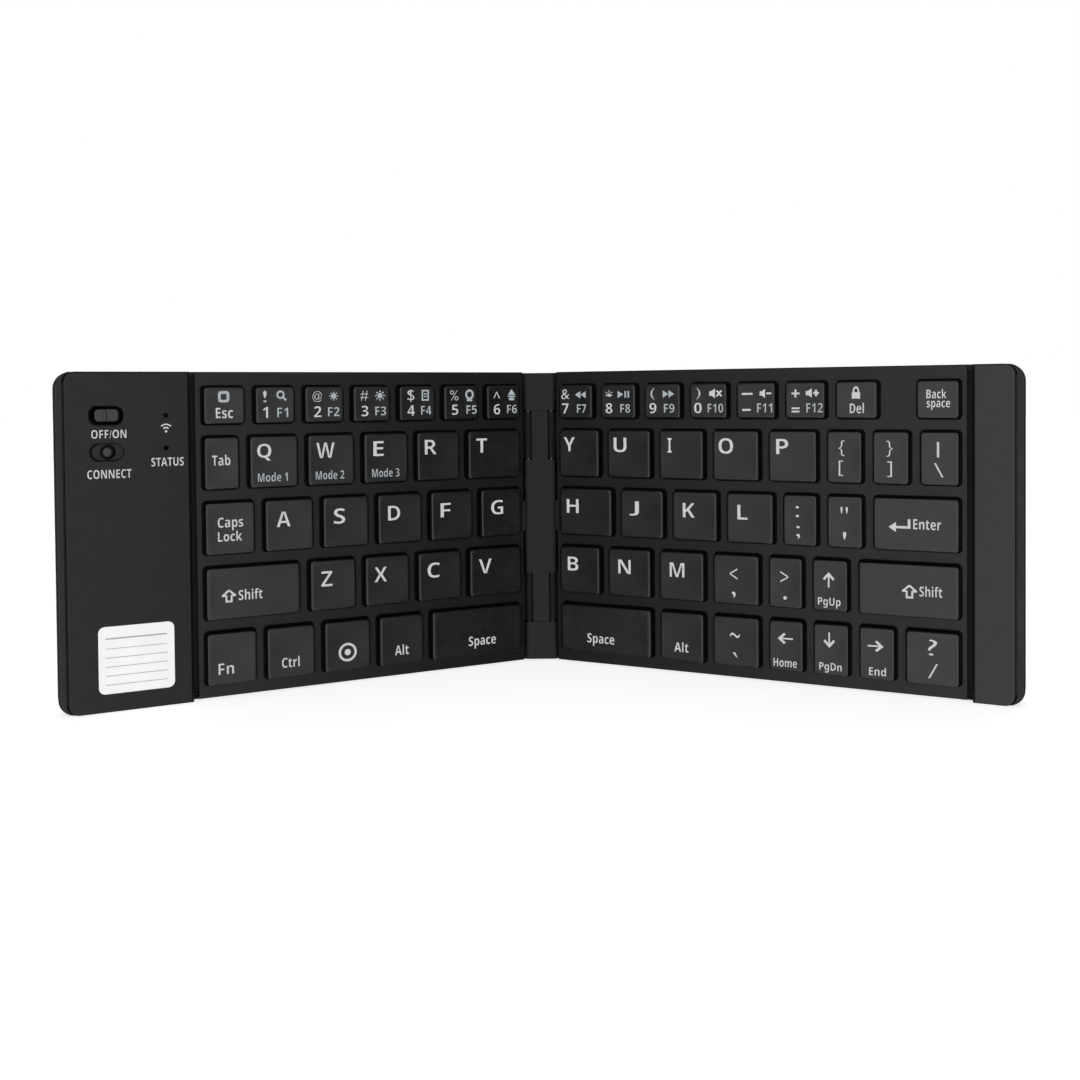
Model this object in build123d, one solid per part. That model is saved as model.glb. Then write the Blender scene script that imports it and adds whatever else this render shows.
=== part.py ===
from build123d import *
import math
import os

# Two-leaf folding keyboard, standing on its long front edge like an open book, keys towards -Y.
# Each leaf is drawn lying flat in its own frame (x = side * u, y = v, z = n):
#   u  distance from the middle of the spine, outwards
#   v  distance from the long front edge (the edge it stands on)
#   n  height above the back face, towards the keys
# and is then stood up, turned about its hinge axis and moved into the assembly frame.
# Millimetres. +Z is up in the assembly, z = 0 is the standing edge.

# ---------------------------------------------------------------- driving dimensions
LEAF_LEN = 152.25          # spine middle to outer end
DEPTH = 98.0               # length of the long edges' spacing: key rows run across this
CASE_T = 7.35              # back face to panel face
FOLD_DEG = 25.0            # each leaf's turn from flat, in the shown pose
PIVOT_U = 3.95             # hinge axis, from the spine middle
PIVOT_N = 3.5              # hinge axis, above the back face
Y_CENTRE = 34.3604         # moves the middle of the depth to Y = 0

CORNER_R = 4.8             # outer corners in plan
PANEL_R = 3.2              # outer corners of the raised panels
FLOOR_T = 1.2
WALL_T = 1.3
PART_N = 3.9               # parting plane between the lower case and the upper parts
DECK_TOP = 4.6
LIP_U = 6.5                # inner edge of the key deck, beside the spine
CASE_IN_U = 7.75           # inner end of the lower case
PANEL_OUT_U = 149.8        # outer end of the raised panels
RIM_IN_U = 150.05
RIM_TOP = 6.6
LEDGE_TOP = 6.45           # the panel's ledge that closes the groove beside the rim

DECK_END = {-1: 113.6, 1: 136.65}
PANEL_IN = {-1: 115.4, 1: 138.3}

CAP_TOP = 7.25
CAP_SKIRT = 4.2
CAP_DRAFT = 0.35          # bevel round the top of a cap
CAP_WALL = 0.9
CAP_ROOF = 1.0
KEY_TRAVEL = 1.5
KEY_GAP = 2.95
# clearance of the deck openings: inner, outer, lower, upper side of a cap
OPENING_GAPS = (0.15, 0.65, 0.3, 0.55)

PLATE_N = (1.25, 1.6)
MEMBRANE_N = (1.65, 1.9)
DOME_N = (1.9, 3.8)
LINK_N = (1.95, 3.2)

# key rows, from the standing edge up: (bottom, top)
ROWS = {5: (4.0, 19.7), 4: (23.6, 39.3), 3: (43.15, 58.85), 2: (62.75, 78.45), 1: (82.3, 93.4)}
FIRST_U = 8.3
# outer edge of every cap, from the spine outwards, and its name
LEFT_KEYS = {
    1: [(20.6, "6"), (35.7, "5"), (50.85, "4"), (66.0, "3"), (81.25, "2"), (96.35, "1"), (111.5, "esc")],
    2: [(27.35, "T"), (45.05, "R"), (62.7, "E"), (80.5, "W"), (98.2, "Q"), (111.5, "tab")],
    3: [(22.95, "G"), (40.55, "F"), (58.35, "D"), (76.0, "S"), (93.85, "A"), (111.5, "caps_lock")],
    4: [(27.15, "V"), (45.05, "C"), (62.7, "X"), (80.25, "Z"), (111.5, "left_shift")],
    5: [(40.5, "left_space"), (58.25, "left_alt"), (76.0, "system"), (93.8, "ctrl"), (111.5, "fn")],
}
RIGHT_KEYS = {
    1: [(20.55, "7"), (35.75, "8"), (50.95, "9"), (66.2, "0"), (81.4, "-"), (96.6, "="), (111.9, "delete")],
    2: [(22.75, "Y"), (40.65, "U"), (58.4, "I"), (76.2, "O"), (94.0, "P"), (107.4, "["), (120.85, "]"), (134.75, "\\")],
    3: [(27.15, "H"), (44.95, "J"), (62.8, "K"), (80.65, "L"), (94.0, ";"), (107.5, "'"), (134.75, "enter")],
    4: [(22.75, "B"), (40.5, "N"), (58.4, "M"), (76.1, "<"), (89.55, ">"), (103.15, "arrow_up"), (134.75, "right_shift")],
    5: [(40.6, "right_space"), (58.25, "right_alt"), (76.1, "~"), (89.75, "arrow_left"), (103.35, "arrow_down"),
        (116.7, "arrow_right"), (134.75, "/")],
}
BACKSPACE = (122.8, 134.75)

# caps that are alike and sit in one row share a node
BANKS = {
    "left_number_keys": ["6", "5", "4", "3", "2", "1"],
    "left_upper_letter_keys": ["T", "R", "E", "W", "Q"],
    "left_home_letter_keys": ["G", "F", "D", "S", "A"],
    "left_lower_letter_keys": ["V", "C", "X", "Z"],
    "right_number_keys": ["7", "8", "9", "0", "-", "="],
    "right_upper_letter_keys": ["Y", "U", "I", "O", "P"],
    "right_home_letter_keys": ["H", "J", "K", "L"],
    "right_lower_letter_keys": ["B", "N", "M"],
    "right_symbol_keys": ["[", "]", "\\", ";", "'", "<", ">", "~", "/"],
}

# hinge zones along the spine (v) and the strips between key rows that carry the hinge ribs
HINGE_ZONES = [(13.2, 29.5), (68.5, 84.8)]
RIB_ZONES = [(20.1, 23.2), (78.85, 81.9)]
PIN_R = 0.8
BORE_R = 0.85
BARREL_R = 1.8
SPINE_BACK_R = 3.5
SPINE_FRONT_R = 2.3
SPINE_V = (0.2, 97.8)

SCREW_ROWS = (21.65, 80.375)
SCREWS = {-1: [11.6, 60.5, 99.5], 1: [11.6, 66.5, 124.5]}
PANEL_SCREWS = {-1: [(121.5, 50.0), (144.0, 50.0)], 1: [(144.0, 30.0), (144.0, 70.0)]}

SLIDER = (134.9, 141.6, 83.6, 87.35)         # knob outline u, v
SLIDER_TRAVEL = 0.8
SLOT = (134.0, 142.65, 82.85, 87.95)
LEAD_R = 0.7               # rounding of the slot's mouth
BUTTON_AT = (138.1, 74.9)
BUTTON_R = 1.6
BUTTON_TRAVEL = 0.6
WELL_R = 2.1
RECESS = (133.9, 142.5, 72.6, 77.2)
RECESS_TOP = 1.15
LIGHTS_AT = [(122.2, 85.2), (122.2, 75.7)]
LIGHT_R = 0.72
LABEL = (120.7, 141.7, 5.3, 24.9)
SOCKET = (146.3, 152.0, 71.2, 78.8, 2.4, 5.0)

os.makedirs("parts", exist_ok=True)


# ---------------------------------------------------------------- helpers
def bx(s, u0, u1, v0, v1, n0, n1):
    """Box in the leaf's flat frame."""
    a, b = sorted((s * u0, s * u1))
    return Pos((a + b) / 2, (v0 + v1) / 2, (n0 + n1) / 2) * Box(b - a, v1 - v0, n1 - n0)


def rr(s, u0, u1, v0, v1, n0, n1, r):
    """Box with rounded corners in plan."""
    a, b = sorted((s * u0, s * u1))
    sk = Pos((a + b) / 2, (v0 + v1) / 2, n0) * RectangleRounded(b - a, v1 - v0, r)
    return extrude(sk, n1 - n0, dir=(0, 0, 1))


def cyl(s, u, v, n0, n1, r):
    return Pos(s * u, v, (n0 + n1) / 2) * Cylinder(r, n1 - n0)


def vcyl(s, u, n, v0, v1, r):
    """Cylinder along the hinge direction."""
    return Pos(s * u, (v0 + v1) / 2, n) * Rot(90, 0, 0) * Cylinder(r, v1 - v0)


def outline(s, u0, u1, r, n0, n1, v0=0.0, v1=DEPTH):
    """Plate with two rounded corners at its outer end only."""
    pts = bx(s, u0, u1, v0, v1, n0, n1)
    edges = [e for e in pts.edges().filter_by(Axis.Z) if abs(abs(e.center().X) - u1) < 1e-6]
    return fillet(edges, r)


def stand(shape, s, fold=FOLD_DEG):
    """Flat leaf frame to the assembly frame."""
    up = Rot(90, 0, 0) * shape
    turn = Pos(s * PIVOT_U, -PIVOT_N, 0) * Rot(0, 0, -s * fold) * Pos(-s * PIVOT_U, PIVOT_N, 0)
    return Pos(0, Y_CENTRE, 0) * turn * up


def stand_spine(shape):
    return Pos(0, Y_CENTRE, 0) * Rot(90, 0, 0) * shape


def solids_of(shapes):
    out = []
    for sh in shapes:
        out += list(sh.solids())
    return out


def as_node(shapes):
    so = solids_of(shapes)
    return so[0] if len(so) == 1 else Compound(children=so)


NODES = {}


def put(name, shape):
    NODES[name] = shape


# ---------------------------------------------------------------- keys
def key_list(s):
    table = LEFT_KEYS if s < 0 else RIGHT_KEYS
    out = []
    for row, items in table.items():
        inner = FIRST_U
        v0, v1 = ROWS[row]
        for outer, name in items:
            out.append((name, inner, outer, v0, v1))
            inner = outer + KEY_GAP
    if s > 0:
        out.append(("backspace", BACKSPACE[0], BACKSPACE[1], ROWS[1][0], ROWS[1][1]))
    return out


def cap(s, u0, u1, v0, v1):
    a, b = sorted((s * u0, s * u1))
    body = rr(1, a, b, v0, v1, CAP_SKIRT, CAP_TOP, 1.1)
    rim = body.faces().sort_by(Axis.Z)[-1].edges()
    body = chamfer(rim, CAP_DRAFT, CAP_DRAFT)
    w = CAP_WALL
    body = body - bx(s, u0 + w, u1 - w, v0 + w, v1 - w, CAP_SKIRT - 0.5, CAP_TOP - CAP_ROOF)
    return body + cyl(s, (u0 + u1) / 2, (v0 + v1) / 2, 5.4, CAP_TOP - CAP_ROOF + 0.2, 1.6)


def build_keys(s):
    caps, rings, domes = {}, [], []
    for name, u0, u1, v0, v1 in key_list(s):
        caps[name] = cap(s, u0, u1, v0, v1)
        m = CAP_WALL + 0.35
        ring = bx(s, u0 + m, u1 - m, v0 + m, v1 - m, LINK_N[0], LINK_N[1])
        m += 0.9
        ring = ring - bx(s, u0 + m, u1 - m, v0 + m, v1 - m, LINK_N[0] - 1, LINK_N[1] + 1)
        rings.append(ring)
        cx, cy = s * (u0 + u1) / 2, (v0 + v1) / 2
        domes.append(Pos(cx, cy, (DOME_N[0] + DOME_N[1]) / 2) * Cone(2.2, 1.35, DOME_N[1] - DOME_N[0]))
    return caps, rings, domes


# ---------------------------------------------------------------- one leaf
def screw(s, u, v):
    """Small countersunk-pocket screw put in from the back."""
    head = cyl(s, u, v, 0.15, 0.8, 1.35)
    slot = bx(1, s * u - 1.0, s * u + 1.0, v - 0.14, v + 0.14, 0.0, 0.4) + bx(1, s * u - 0.14, s * u + 0.14, v - 1.0, v + 1.0, 0.0, 0.4)
    return (head - slot) + cyl(s, u, v, 0.8, 4.2, 0.62)


def leaf(s):
    side = "left" if s < 0 else "right"
    screws_at = [(u, v) for u in SCREWS[s] for v in SCREW_ROWS]
    panel_at = PANEL_SCREWS[s]

    # lower case: tray with a raised, rounded rim at its outer end
    tray = outline(s, CASE_IN_U, LEAF_LEN, CORNER_R, 0.0, RIM_TOP)
    top_edges = [e for e in tray.edges() if abs(e.center().Z - RIM_TOP) < 1e-6 and abs(e.center().X) > CASE_IN_U + 0.01]
    tray = fillet(top_edges, 0.8)
    low_edges = [e for e in tray.edges() if abs(e.center().Z) < 1e-6 and abs(e.center().X) > CASE_IN_U + 0.01]
    tray = fillet(low_edges, 1.0)
    grow = RIM_IN_U - PANEL_OUT_U
    tray = tray - outline(s, 0, RIM_IN_U, PANEL_R + grow, PART_N, 12, -grow, DEPTH + grow)
    room = outline(s, 9.1, 148.3, CORNER_R - WALL_T, FLOOR_T, PART_N + 0.5, WALL_T, DEPTH - WALL_T)
    tray = tray - room
    # above the key stack's level the inner end wall steps down, clear of the first key column
    tray = tray - bx(s, 0, 9.2, -1, DEPTH + 1, 2.5, PART_N + 1)
    for z0, z1 in HINGE_ZONES:
        tray = tray - bx(s, 0, 9.4, z0, z1, FLOOR_T, PART_N)
    # the groove beside the panel runs out through most of the long walls' thickness
    tray = tray - bx(s, DECK_END[s], PANEL_IN[s], 0.55, DEPTH - 0.55, 2.0, PART_N + 1)
    for u, v in screws_at + panel_at:
        tray = tray - cyl(s, u, v, -1, 0.8, 1.5) - cyl(s, u, v, -1, 3, 0.75)
    if s < 0:
        tray = tray - rr_end(s)
    put(side + "_lower_case", stand(tray, s))

    # key deck
    deck = bx(s, LIP_U, DECK_END[s], 0, DEPTH, PART_N, DECK_TOP)
    long_edges = [e for e in deck.edges().filter_by(Axis.X) if e.center().Z > DECK_TOP - 1e-6]
    deck = fillet(long_edges, 0.4)
    holes = []
    for name, u0, u1, v0, v1 in key_list(s):
        gi, go, gl, gu = OPENING_GAPS
        holes.append(rr(s, u0 - gi, u1 + go, v0 - gl, v1 + gu, PART_N - 1, DECK_TOP + 1, 1.4))
    deck = deck - holes
    flange = bx(s, 7.45, 7.85, 1.4, 13.0, 2.6, PART_N + 0.1) + bx(s, 7.45, 7.85, 29.7, 43.5, 2.6, PART_N + 0.1)
    flange = flange + bx(s, 7.45, 7.85, 54.5, 68.3, 2.6, PART_N + 0.1) + bx(s, 7.45, 7.85, 85.0, 96.6, 2.6, PART_N + 0.1)
    deck = deck + flange
    for u, v in screws_at:
        if u > 15:
            deck = deck + cyl(s, u, v, MEMBRANE_N[1] + 0.05, PART_N + 0.1, 1.4)
        deck = deck - cyl(s, u, v, 0, 4.3, 0.68)
    put(side + "_key_deck", stand(deck, s))

    # raised panel at the outer end
    panel = outline(s, PANEL_IN[s], PANEL_OUT_U, PANEL_R, PART_N, CASE_T)
    rim = [e for e in panel.edges() if abs(e.center().Z - CASE_T) < 1e-6]
    panel = fillet(rim, 0.7)
    panel = panel + outline(s, PANEL_OUT_U - 4.0, RIM_IN_U - 0.05, PANEL_R + 0.2, PART_N, LEDGE_TOP, 0.6, DEPTH - 0.6)
    panel = panel - outline(s, PANEL_IN[s] + 1.2, PANEL_OUT_U - 1.3, PANEL_R - 1.3, PART_N - 1, CASE_T - 1.5, WALL_T, DEPTH - WALL_T)
    for u, v in panel_at:
        panel = panel + cyl(s, u, v, 1.25, CASE_T - 1.4, 1.8) - cyl(s, u, v, 0, 4.65, 0.68)
    if s < 0:
        u0, u1, v0, v1 = SLOT
        panel = panel - rr(s, u0, u1, v0, v1, 0, 9, 2.1)
        p0, p1, q0, q1 = RECESS
        # thicker under the recess, so that its bottom keeps a wall
        panel = panel + rr(s, p0 - 0.5, p1 + 0.5, q0 - 0.5, q1 + 0.5, 5.3, 5.9, 2.0)
        panel = panel - rr(s, p0, p1, q0, q1, CASE_T - RECESS_TOP, 9, (q1 - q0) / 2 - 0.01)
        # rounded mouths of the slot and of the button's recess
        mouths = [e for e in panel.edges() if abs(e.center().Z - CASE_T) < 1e-6
                  and 133.0 < abs(e.center().X) < 143.5 and 72.0 < e.center().Y < 88.5]
        panel = fillet(mouths, LEAD_R)
        panel = panel - cyl(s, BUTTON_AT[0], BUTTON_AT[1], 4, 9, WELL_R)
        for u, v in LIGHTS_AT:
            panel = panel - cyl(s, u, v, 4, 9, LIGHT_R)
        u0, u1, v0, v1 = LABEL
        panel = panel - rr(s, u0, u1, v0, v1, CASE_T - 0.15, 9, 1.9)
        panel = panel - rr_end(s)
    put("left_control_bezel" if s < 0 else "right_end_bezel", stand(panel, s))

    # base plate and switch membrane, notched for the hinge ribs and drilled for screws; the membrane reaches under the
    # panel's inner wall, so it is what shows at the bottom of the groove beside the panel
    for name, (n0, n1), grow, end in (("base_plate", PLATE_N, 0.0, DECK_END[s] - 1.0),
                                      ("membrane", MEMBRANE_N, 0.15, PANEL_IN[s] + 1.0)):
        sheet = bx(s, 9.45 + grow, end - grow, 1.6 + grow, DEPTH - 1.6 - grow, n0, n1)
        for v0, v1 in RIB_ZONES:
            sheet = sheet - bx(s, 0, 14.5, v0 - 0.4, v1 + 0.4, 0, 5)
        for u, v in screws_at:
            if u > 15:
                sheet = sheet - cyl(s, u, v, 0, 5, 0.9)
        put(f"{side}_{name}", stand(sheet, s))

    # hinge leaves: barrel, arm, foot under the first keys, and a rib between two key rows
    leaves = []
    for (z0, z1), (r0, r1) in zip(HINGE_ZONES, RIB_ZONES):
        a, b = z0 + 0.2, z1 - 0.2
        lf = vcyl(s, PIVOT_U, PIVOT_N, a, b, BARREL_R) + bx(s, PIVOT_U, 8.0, a, b, 2.45, 3.6)
        lf = lf + bx(s, CASE_IN_U, 9.2, a, b, 1.25, 2.5) + bx(s, CASE_IN_U, 14.0, r0, r1, 1.25, 3.8)
        lf = lf - vcyl(s, PIVOT_U, PIVOT_N, a - 1, b + 1, BORE_R)
        v = SCREW_ROWS[0] if z0 < 40 else SCREW_ROWS[1]
        lf = lf - cyl(s, SCREWS[s][0], v, 0, 5, 0.7)
        leaves.append(lf)
    put(side + "_hinge_leaves", stand(as_node(leaves), s))

    # feet on the back face
    pads = []
    for u0, u1 in ((15.0, 27.0), (133.0, 145.0)):
        for v0 in (5.0, 89.8):
            pads.append(rr(s, u0, u1, v0, v0 + 3.2, -0.6, 0.0, 1.5))
    put(side + "_feet", stand(as_node(pads), s))
    put(side + "_screws", stand(as_node([screw(s, u, v) for u, v in screws_at + panel_at]), s))

    # keys and what lies under each
    caps, rings, domes = build_keys(s)
    put(side + "_scissor_links", stand(as_node(rings), s))
    put(side + "_rubber_domes", stand(as_node(domes), s))
    grouped = set()
    for bank, names in BANKS.items():
        if bank.startswith(side):
            put(bank, stand(as_node([caps[n] for n in names]), s))
            grouped |= set(names)
    for n, sh in caps.items():
        if n not in grouped:
            put(n + "_key", stand(sh, s))


def rr_end(s):
    """Mouth for the charging socket through the end walls."""
    u0, u1, v0, v1, n0, n1 = SOCKET
    return bx(s, u0 - 0.5, 160, v0 - 0.15, v1 + 0.15, n0 - 0.15, n1 + 0.15)


leaf(-1)
leaf(1)

# ---------------------------------------------------------------- controls and what is under the left panel
S = -1
u0, u1, v0, v1 = SLIDER
mu, mv = (u0 + u1) / 2, (v0 + v1) / 2
knob = rr(S, u0, u1, v0, v1, 4.85, 6.9, 1.25)
knob = fillet(knob.faces().sort_by(Axis.Z)[-1].edges(), 0.4)
ridge = rr(S, 138.3, 139.3, v0 + 0.35, v1 - 0.35, 6.5, 7.25, 0.3)
knob = knob + fillet(ridge.faces().sort_by(Axis.Z)[-1].edges(), 0.25)
# stem and foot, guided in the switch body below
knob = knob + bx(S, mu - 0.6, mu + 0.6, mv - 0.7, mv + 0.7, 3.7, 4.95)
knob = knob + bx(S, mu - 0.6, mu + 0.6, mv - 1.6, mv + 1.6, 3.5, 3.9)
put("power_slider", stand(knob, S))

bu, bv = BUTTON_AT
dome = cyl(S, bu, bv, 3.85, 7.05, BUTTON_R)
dome = fillet(dome.edges().sort_by(Axis.Z)[-1], 0.8)
put("connect_button", stand(dome + cyl(S, bu, bv, 3.85, 4.3, 2.4), S))

put("indicator_lenses", stand(as_node([cyl(S, u, v, 5.0, 6.25, LIGHT_R - 0.06) for u, v in LIGHTS_AT]), S))
u0, u1, v0, v1 = LABEL
put("blank_label", stand(rr(S, u0 + 0.1, u1 - 0.1, v0 + 0.1, v1 - 0.1, CASE_T - 0.15, CASE_T - 0.03, 1.8), S))

board = rr(S, 118.0, 147.2, 54.0, 94.5, 1.6, 2.4, 1.0)
# switch body that fills the slot's view, with a slit for the knob's stem and room for its foot
body = bx(S, SLOT[0] - 0.9, SLOT[1] + 0.9, SLOT[2] - 0.9, SLOT[3] + 0.9, 2.3, 4.75)
body = body - bx(S, mu - 0.75 - SLIDER_TRAVEL, mu + 0.75, mv - 0.85, mv + 0.85, 3.35, 6)
body = body - bx(S, mu - 0.75 - SLIDER_TRAVEL, mu + 0.75, mv - 1.75, mv + 1.75, 3.35, 4.05)
# housing that keeps the button's flange, round the push switch
cup = cyl(S, bu, bv, 2.3, 4.75, 3.5) - cyl(S, bu, bv, 2.4, 4.45, 2.9) - cyl(S, bu, bv, 2.4, 6, 1.75)
board = board + body + cup + bx(S, bu - 1.5, bu + 1.5, bv - 1.5, bv + 1.5, 2.3, 3.2)
board = board + bx(S, 123.5, 129.5, 58.5, 64.5, 2.3, 3.1) + bx(S, 134.0, 141.0, 58.0, 61.0, 2.3, 3.0)
board = board + bx(S, 121.4, 123.0, 84.6, 85.8, 2.3, 2.9) + bx(S, 121.5, 123.1, 75.0, 76.2, 2.3, 2.9)
put("control_board", stand(board, S))
put("battery_cell", stand(rr(S, 118.0, 147.0, 6.5, 46.5, 1.35, 5.35, 1.2), S))

u0, u1, v0, v1, n0, n1 = SOCKET
sock = rr_sock = bx(S, u0, u1, v0, v1, n0, n1) - bx(S, u0 + 0.6, u1 + 1, v0 + 0.3, v1 - 0.3, n0 + 0.3, n1 - 0.3)
sock = sock + bx(S, u0 + 0.3, u1 - 1.0, v0 + 1.9, v1 - 1.9, n0 + 1.45, n0 + 2.0)
put("charging_socket", stand(sock, S))


# ---------------------------------------------------------------- spine
def slab(x0, x1, v0, v1, n0, n1):
    return bx(1, x0, x1, v0, v1, n0, n1)


def capsule(r, v0, v1):
    """Solid with both hinge axes as its centres: flat front and back, round sides."""
    return vcyl(1, PIVOT_U, PIVOT_N, v0, v1, r) + vcyl(-1, PIVOT_U, PIVOT_N, v0, v1, r) + slab(
        -PIVOT_U, PIVOT_U, v0, v1, PIVOT_N - r, PIVOT_N + r)


s0, s1 = SPINE_V
gutter = capsule(SPINE_BACK_R, s0, s1) - capsule(SPINE_FRONT_R + 0.06, s0 - 1, s1 + 1)
gutter = gutter - slab(-20, 20, s0 - 1, s1 + 1, 3.3, 20)
# narrower above the level of the leaf's turned-down flange
for k in (-1, 1):
    outer = slab(0, 20, s0 - 1, s1 + 1, 2.0, 20) - vcyl(1, PIVOT_U, PIVOT_N, s0 - 2, s1 + 2, 3.15)
    outer = outer - slab(-1, PIVOT_U, s0 - 2, s1 + 2, 0, 21)
    gutter = gutter - (outer if k > 0 else mirror(outer, about=Plane.YZ))
for z0, z1 in HINGE_ZONES:
    gutter = gutter - slab(-20, 20, z0, z1, 2.15, 20)
put("spine_back_shell", stand_spine(gutter))

blocks = []
for a, b, pin0, pin1 in ((s0 + 0.1, HINGE_ZONES[0][0] - 0.2, 7.0, 14.0), (HINGE_ZONES[1][1] + 0.2, s1 - 0.1, 84.0, 91.0)):
    blk = capsule(SPINE_FRONT_R, a, b)
    for k in (-1, 1):
        blk = blk - vcyl(k, PIVOT_U, PIVOT_N, pin0, pin1, PIN_R + 0.02)
    blocks.append(blk)
put("spine_end_blocks", stand_spine(as_node(blocks)))

mid0, mid1 = HINGE_ZONES[0][1] + 0.2, HINGE_ZONES[1][0] - 0.2
cover = capsule(SPINE_FRONT_R, mid0, mid1) & slab(-5.2, 5.2, mid0 - 1, mid1 + 1, 0, 9)
cover = cover - slab(-9, 9, 43.5, 54.5, 3.15, 3.85)
for k in (-1, 1):
    cover = cover - vcyl(k, PIVOT_U, PIVOT_N, mid0 - 1, mid0 + 5.0, PIN_R + 0.02)
    cover = cover - vcyl(k, PIVOT_U, PIVOT_N, mid1 - 5.0, mid1 + 1, PIN_R + 0.02)
strip = slab(-2.75, 2.75, HINGE_ZONES[0][0] - 0.1, HINGE_ZONES[1][1] + 0.1, 5.2, PIVOT_N + SPINE_FRONT_R)
put("spine_front_cover", stand_spine(cover + strip))

pins = []
for k in (-1, 1):
    pins.append(vcyl(k, PIVOT_U, PIVOT_N, 7.2, mid0 + 4.8, PIN_R))
    pins.append(vcyl(k, PIVOT_U, PIVOT_N, mid1 - 4.8, 90.8, PIN_R))
put("hinge_pins", stand_spine(as_node(pins)))
put("flex_ribbon", stand_spine(slab(-6.2, 6.2, 44.0, 54.0, 3.4, 3.55)))

# ---------------------------------------------------------------- write
lo = [1e9] * 3
hi = [-1e9] * 3
for name, shape in NODES.items():
    bb = shape.bounding_box()
    for i, (a, b) in enumerate(zip((bb.min.X, bb.min.Y, bb.min.Z), (bb.max.X, bb.max.Y, bb.max.Z))):
        lo[i], hi[i] = min(lo[i], a), max(hi[i], b)
    export_step(shape, f"parts/{name}.step")
print("nodes", len(NODES))
print("box", [round(a, 4) for a in lo], [round(b, 4) for b in hi])
print("middle", [round((a + b) / 2, 4) for a, b in zip(lo, hi)])
print("hinge axes at x = +-", PIVOT_U, "y =", round(Y_CENTRE - PIVOT_N, 4))
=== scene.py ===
import bpy
import bmesh
import math
from mathutils import Matrix, Vector


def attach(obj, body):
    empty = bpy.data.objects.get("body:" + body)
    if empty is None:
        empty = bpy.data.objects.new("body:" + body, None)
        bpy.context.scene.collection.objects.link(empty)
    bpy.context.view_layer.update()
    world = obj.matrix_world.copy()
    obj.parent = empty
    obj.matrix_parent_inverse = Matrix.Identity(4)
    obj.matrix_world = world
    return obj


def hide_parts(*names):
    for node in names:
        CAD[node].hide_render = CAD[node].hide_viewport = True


# Looks of the folding keyboard. The CAD nodes come in as a fixed frame; the key caps are replaced by softer,
# dished caps of the same outline, and printed legends are laid on them. Everything below is in metres once placed;
# caps and legends are drawn in each leaf's own flat frame, in millimetres:
#   x = side * u (u runs outwards from the spine), y = v (up from the standing edge), z = n (above the back face)

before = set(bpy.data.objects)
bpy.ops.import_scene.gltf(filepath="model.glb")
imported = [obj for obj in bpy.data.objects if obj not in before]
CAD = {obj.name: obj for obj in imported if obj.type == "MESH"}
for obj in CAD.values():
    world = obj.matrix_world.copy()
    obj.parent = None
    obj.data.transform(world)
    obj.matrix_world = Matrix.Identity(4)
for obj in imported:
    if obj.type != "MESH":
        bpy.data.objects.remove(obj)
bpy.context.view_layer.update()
scene = bpy.context.scene

FOLD = math.radians(25.0)
PIVOT_U, PIVOT_N, Y_CENTRE = 3.95, 3.5, 34.3604
CAP_TOP, CAP_SKIRT = 7.25, 4.2
PANEL_TOP = 7.35
KEY_GAP = 2.95
FIRST_U = 8.3
ROWS = {5: (4.0, 19.7), 4: (23.6, 39.3), 3: (43.15, 58.85), 2: (62.75, 78.45), 1: (82.3, 93.4)}
LEFT_KEYS = {
    1: [(20.6, "6"), (35.7, "5"), (50.85, "4"), (66.0, "3"), (81.25, "2"), (96.35, "1"), (111.5, "esc")],
    2: [(27.35, "T"), (45.05, "R"), (62.7, "E"), (80.5, "W"), (98.2, "Q"), (111.5, "tab")],
    3: [(22.95, "G"), (40.55, "F"), (58.35, "D"), (76.0, "S"), (93.85, "A"), (111.5, "caps_lock")],
    4: [(27.15, "V"), (45.05, "C"), (62.7, "X"), (80.25, "Z"), (111.5, "left_shift")],
    5: [(40.5, "left_space"), (58.25, "left_alt"), (76.0, "system"), (93.8, "ctrl"), (111.5, "fn")],
}
RIGHT_KEYS = {
    1: [(20.55, "7"), (35.75, "8"), (50.95, "9"), (66.2, "0"), (81.4, "-"), (96.6, "="), (111.9, "delete")],
    2: [(22.75, "Y"), (40.65, "U"), (58.4, "I"), (76.2, "O"), (94.0, "P"), (107.4, "["), (120.85, "]"), (134.75, "\\")],
    3: [(27.15, "H"), (44.95, "J"), (62.8, "K"), (80.65, "L"), (94.0, ";"), (107.5, "'"), (134.75, "enter")],
    4: [(22.75, "B"), (40.5, "N"), (58.4, "M"), (76.1, "<"), (89.55, ">"), (103.15, "arrow_up"), (134.75, "right_shift")],
    5: [(40.6, "right_space"), (58.25, "right_alt"), (76.1, "~"), (89.75, "arrow_left"), (103.35, "arrow_down"),
        (116.7, "arrow_right"), (134.75, "/")],
}
BANKS = {
    "left_number_keys": ["6", "5", "4", "3", "2", "1"],
    "left_upper_letter_keys": ["T", "R", "E", "W", "Q"],
    "left_home_letter_keys": ["G", "F", "D", "S", "A"],
    "left_lower_letter_keys": ["V", "C", "X", "Z"],
    "right_number_keys": ["7", "8", "9", "0", "-", "="],
    "right_upper_letter_keys": ["Y", "U", "I", "O", "P"],
    "right_home_letter_keys": ["H", "J", "K", "L"],
    "right_lower_letter_keys": ["B", "N", "M"],
    "right_symbol_keys": ["[", "]", "\\", ";", "'", "<", ">", "~", "/"],
}

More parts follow.
